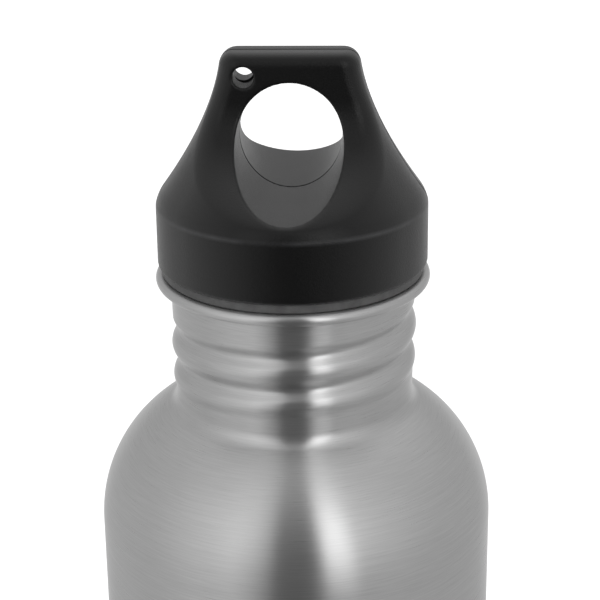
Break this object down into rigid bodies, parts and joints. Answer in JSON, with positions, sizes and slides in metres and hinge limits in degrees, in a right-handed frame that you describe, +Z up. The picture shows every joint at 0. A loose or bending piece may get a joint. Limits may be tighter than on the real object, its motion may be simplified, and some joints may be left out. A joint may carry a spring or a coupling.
{
  "type": "water bottle",
  "caption": "Single-wall brushed steel water bottle with a narrow threaded neck and a black screw cap moulded into a carrying loop.",
  "frame": {"origin": "centre of the foot ring on the resting plane", "axes": "+Z up along the bottle axis, -Y towards the loop's front face, +X along the loop's width"},
  "size_m": [0.074, 0.074, 0.2589],
  "materials": {
    "steel": "fine brushing round the bottle, satin",
    "cap": "finely textured black polypropylene",
    "seal": "smooth dark grey silicone"
  },
  "bodies": {
    "bottle": {"bottle_body": "steel", "bottle_base": "steel"},
    "seal": {"cap_seal": "seal"},
    "cap": {"cap_shell_front": "cap", "cap_shell_back": "cap", "cap_plug": "cap"}
  },
  "joints": [
    {"name": "cap_lift", "type": "slide", "parent": "bottle", "child": "seal", "axis": [0, 0, 1], "range_m": [0, 0.0255]},
    {"name": "cap_turn", "type": "hinge", "parent": "seal", "child": "cap", "pos_m": [0, 0, 0.217], "axis": [0, 0, 1], "range_deg": [0, 1440]}
  ],
  "couplings": [
    {"joint": "cap_lift", "follows": "cap_turn", "m_per_rad": 0.0010106}
  ]
}
